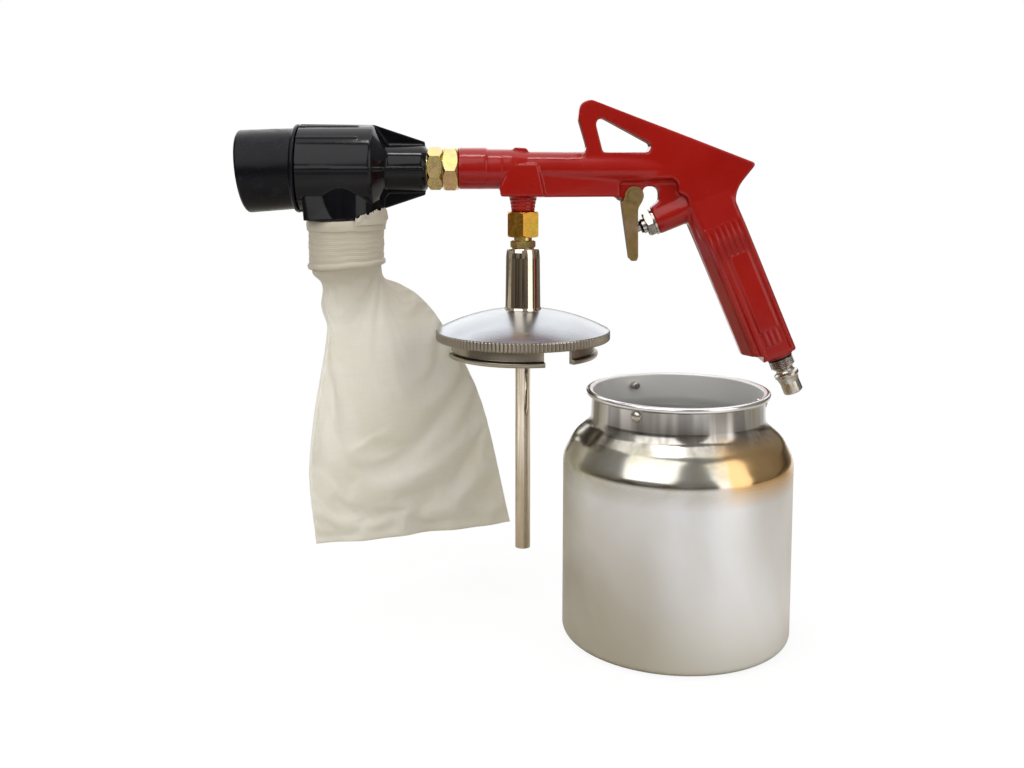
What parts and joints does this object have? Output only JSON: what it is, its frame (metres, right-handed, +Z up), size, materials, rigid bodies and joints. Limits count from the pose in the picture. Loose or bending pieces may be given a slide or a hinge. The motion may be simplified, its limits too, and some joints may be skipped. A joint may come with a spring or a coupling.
{
  "type": "spot sandblasting gun",
  "caption": "Suction-feed spot blasting gun with trigger valve, recovery shroud with rubber mouth and cloth bag, bayonet suction lid with pickup tube, and loose abrasive canister.",
  "frame": {"origin": "middle of the grip, between its front and back edges and halfway down, on the gun's plane of symmetry", "axes": "+X along the barrel from the mouth to the grip, +Y to the far side, +Z up; the barrel axis is 58 mm above the origin"},
  "size_m": [0.2959, 0.17, 0.2598],
  "materials": {
    "red_paint": "glossy sprayed enamel over a sand-cast surface",
    "black_plastic": "glossy moulded",
    "black_rubber": "matte with handling marks",
    "zinc_yellow": "yellow zinc plating, slightly iridescent",
    "nickel": "bright nickel plating",
    "chrome_plate": "polished chrome plating",
    "spun_aluminium": "spun, polished at the neck and satin on the body",
    "brass_metal": "turned",
    "nozzle_steel": "hardened, ground",
    "bag_cloth": "thin off-white woven cloth",
    "cuff_cloth": "elastic band, ribbed",
    "white_nylon": "natural nylon"
  },
  "bodies": {
    "gun": {"gun_body": "red_paint", "air_jet": "brass_metal", "blast_nozzle": "nozzle_steel", "nozzle_seal": "black_rubber", "trigger_pin": "zinc_yellow", "pin_clip": "nickel", "stop_pin": "nickel", "valve_washer": "nickel", "valve_nut": "nickel", "stem_wiper": "black_rubber", "valve_seat": "white_nylon", "valve_spring": "nickel", "air_plug": "nickel", "plug_seal": "black_rubber"},
    "adapter": {"muzzle_adapter": "zinc_yellow"},
    "lock_nut_body": {"lock_nut": "zinc_yellow"},
    "shroud_body": {"shroud": "black_plastic"},
    "mouth": {"mouth_tube": "black_rubber"},
    "collection_bag": {"bag": "bag_cloth", "bag_cuff": "cuff_cloth"},
    "trigger_body": {"trigger": "zinc_yellow"},
    "valve": {"valve_stem": "nickel"},
    "union": {"union_nut": "zinc_yellow"},
    "suction_lid": {"lid_nipple": "zinc_yellow", "lid_sleeve": "chrome_plate", "lid": "chrome_plate", "lid_gasket": "black_rubber", "lid_nut": "nickel", "pickup_tube": "chrome_plate"},
    "abrasive_canister": {"canister": "spun_aluminium", "bayonet_pins": "nickel"}
  },
  "joints": [
    {"name": "trigger_pull", "type": "hinge", "parent": "gun", "child": "trigger_body", "pos_m": [-0.0554, 0, 0.044], "axis": [0, -1, 0], "range_deg": [0, 10]},
    {"name": "valve_slide", "type": "slide", "parent": "gun", "child": "valve", "axis": [0.9205, 0, 0.3907], "range_m": [0, 0.003], "stiffness_N_per_m": 2000, "springref_m": -0.003, "deforming": ["valve_spring"]},
    {"name": "union_nut_turn", "type": "hinge", "parent": "gun", "child": "union", "pos_m": [-0.113, 0, 0.029], "axis": [0, 0, 1], "continuous": true},
    {"name": "lid_swivel", "type": "hinge", "parent": "gun", "child": "suction_lid", "pos_m": [-0.113, 0, 0.018], "axis": [0, 0, 1], "continuous": true},
    {"name": "adapter_turn", "type": "hinge", "parent": "gun", "child": "adapter", "pos_m": [-0.15, 0, 0.058], "axis": [1, 0, 0], "continuous": true},
    {"name": "lock_nut_turn", "type": "hinge", "parent": "gun", "child": "lock_nut_body", "pos_m": [-0.158, 0, 0.058], "axis": [1, 0, 0], "continuous": true},
    {"name": "shroud_swivel", "type": "hinge", "parent": "gun", "child": "shroud_body", "pos_m": [-0.173, 0, 0.058], "axis": [1, 0, 0], "range_deg": [0, 90]},
    {"name": "mouth_pull", "type": "slide", "parent": "shroud_body", "child": "mouth", "axis": [-1, 0, 0], "range_m": [0, 0.025]},
    {"name": "bag_pull", "type": "slide", "parent": "shroud_body", "child": "collection_bag", "axis": [0, 0, -1], "range_m": [0, 0.03]},
    {"name": "canister_draw_away", "type": "slide", "parent": "gun", "child": "abrasive_canister", "axis": [0.8571, -0.5151, 0], "range_m": [0, 0.12]}
  ],
  "couplings": [
    {"joint": "trigger_pull", "follows": "valve_slide", "rad_per_m": 58.14}
  ]
}
